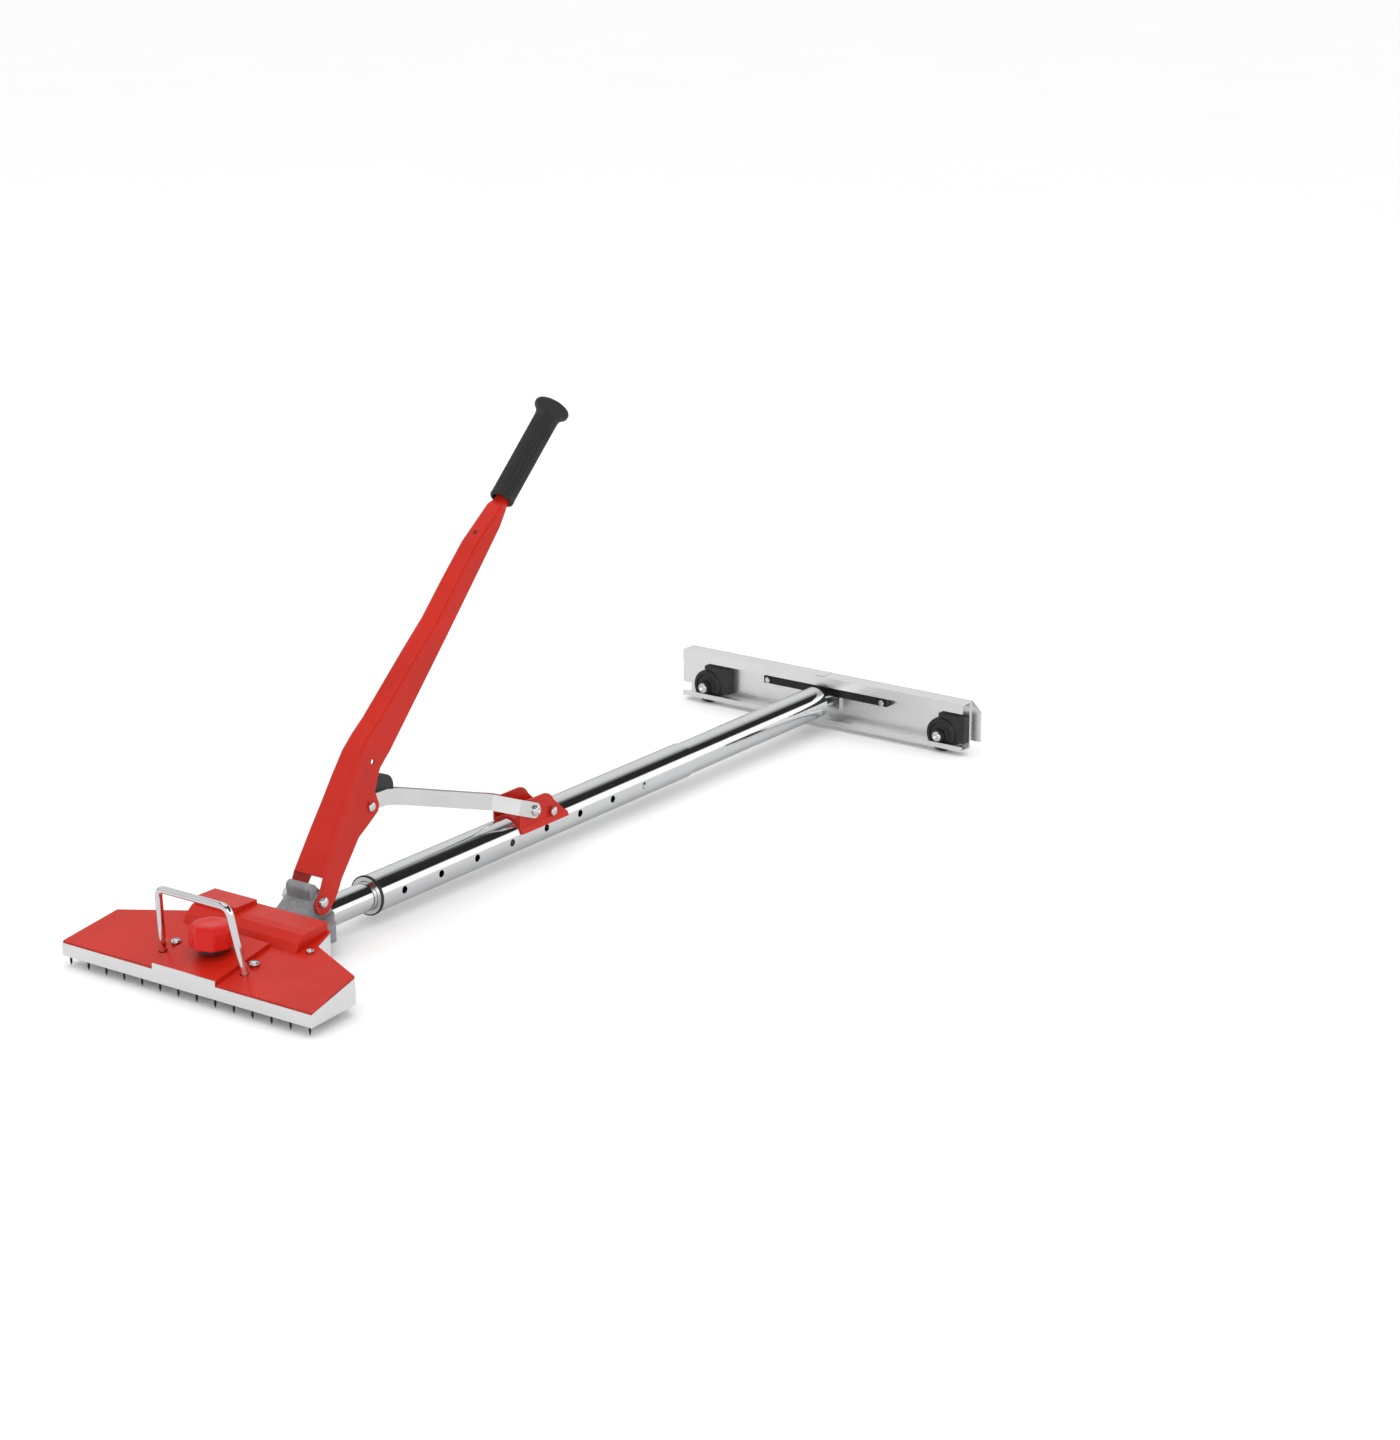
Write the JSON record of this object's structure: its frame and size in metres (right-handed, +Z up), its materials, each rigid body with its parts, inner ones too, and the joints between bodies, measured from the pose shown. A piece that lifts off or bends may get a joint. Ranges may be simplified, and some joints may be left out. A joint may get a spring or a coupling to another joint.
{
  "type": "carpet power stretcher",
  "caption": "Floor tool that stretches carpet: a pin head and a wheeled tail on telescoping tubes, drawn apart by a long folded lever and link.",
  "frame": {"origin": "centre of the footprint on the floor", "axes": "+X from the tail to the pin head, +Z up, +Y towards the side of the tube with the row of holes"},
  "size_m": [1.387, 0.534, 0.615],
  "materials": {
    "chrome": "polished",
    "red_paint": "satin enamel",
    "red_knob": "satin",
    "aluminium": "mill finish",
    "cast_grey": "cast, painted grey",
    "black_rubber": "ribbed matt",
    "wheel_black": "satin",
    "black_plastic": "matt",
    "black_steel": "satin black",
    "white_zinc": "bright plated",
    "zinc": "zinc plated"
  },
  "bodies": {
    "main": {"main_tube": "chrome", "front_bush": "black_plastic", "saddle": "red_paint", "saddle_pivot_bolt": "zinc", "saddle_pivot_nut": "zinc", "saddle_rivet_near": "zinc", "saddle_rivet_far": "zinc"},
    "lead": {"lead_tube": "chrome", "lead_guide_sleeve": "black_plastic", "yoke": "cast_grey", "lever_pivot_bolt": "zinc", "lever_pivot_nut": "zinc"},
    "lever": {"lever_channel": "red_paint", "lever_grip": "black_rubber", "link_rivet_near": "zinc", "link_rivet_far": "zinc"},
    "link": {"link_strap_near": "white_zinc", "link_strap_far": "white_zinc", "link_cam": "black_plastic", "link_eye_pin": "zinc"},
    "head": {"head_base": "aluminium", "head_cover": "red_paint", "head_panel": "red_paint", "rear_housing": "red_paint", "carry_handle": "chrome", "handle_screw_near": "zinc", "handle_screw_far": "zinc", "cover_screw": "zinc", "head_swivel_pin": "zinc"},
    "knob": {"depth_knob": "red_knob", "depth_spindle": "zinc"},
    "pins": {"pin_plate": "black_steel"},
    "rear": {"rear_tube": "chrome", "tube_end_fitting": "cast_grey", "button_spring": "zinc"},
    "button": {"snap_button": "zinc"},
    "tail": {"tail_channel": "aluminium", "tail_back_plate": "aluminium", "tail_bar": "black_steel", "tail_bar_screw_near": "zinc", "tail_bar_screw_far": "zinc", "tail_bracket": "zinc", "tail_swivel_pin": "zinc", "tail_splice_plate": "aluminium", "wheel_bracket_near": "black_plastic", "wheel_bracket_far": "black_plastic", "axle_bolt_near": "zinc", "axle_bolt_far": "zinc"},
    "wheel_near": {"wheel_near": "wheel_black"},
    "wheel_far": {"wheel_far": "wheel_black"}
  },
  "joints": [
    {"name": "lever_hinge", "type": "hinge", "parent": "lead", "child": "lever", "pos_m": [0.47148, 0, 0.066], "axis": [0, 1, 0], "range_deg": [-30, 33]},
    {"name": "lead_slide", "type": "slide", "parent": "main", "child": "lead", "axis": [1, 0, -0.0058], "range_m": [-0.0815, 0.074]},
    {"name": "link_hinge", "type": "hinge", "parent": "main", "child": "link", "pos_m": [0.0475, 0, 0.06996], "axis": [0, 1, 0], "range_deg": [-11.5, 10.5]},
    {"name": "head_yaw", "type": "hinge", "parent": "lead", "child": "head", "pos_m": [0.5575, 0, 0.03], "axis": [0, 0, 1], "range_deg": [-10, 10]},
    {"name": "knob_turn", "type": "hinge", "parent": "head", "child": "knob", "pos_m": [0.6425, 0, 0.07], "axis": [0, 0, 1], "range_deg": [0, 270]},
    {"name": "pin_slide", "type": "slide", "parent": "head", "child": "pins", "axis": [0, 0, 1], "range_m": [0, 0.006]},
    {"name": "length_slide", "type": "slide", "parent": "main", "child": "rear", "axis": [1, 0, -0.0058], "range_m": [0, 0.1464], "deforming": ["snap_button"]},
    {"name": "button_press", "type": "slide", "parent": "rear", "child": "button", "axis": [0, -1, 0], "range_m": [0, 0.0045], "stiffness_N_per_m": 1500, "deforming": ["button_spring"]},
    {"name": "tail_yaw", "type": "hinge", "parent": "rear", "child": "tail", "pos_m": [-0.6675, 0, 0.042], "axis": [0, 0, 1], "range_deg": [-15, 15]},
    {"name": "wheel_near_roll", "type": "hinge", "parent": "tail", "child": "wheel_near", "pos_m": [-0.679, 0.21, 0.0255], "axis": [1, 0, 0], "continuous": true},
    {"name": "wheel_far_roll", "type": "hinge", "parent": "tail", "child": "wheel_far", "pos_m": [-0.679, -0.21, 0.0255], "axis": [1, 0, 0], "continuous": true}
  ],
  "couplings": [
    {"joint": "lead_slide", "follows": "lever_hinge", "m_per_rad": -0.14068},
    {"joint": "link_hinge", "follows": "lever_hinge", "ratio": -0.3414},
    {"joint": "knob_turn", "follows": "pin_slide", "rad_per_m": 785.39}
  ]
}
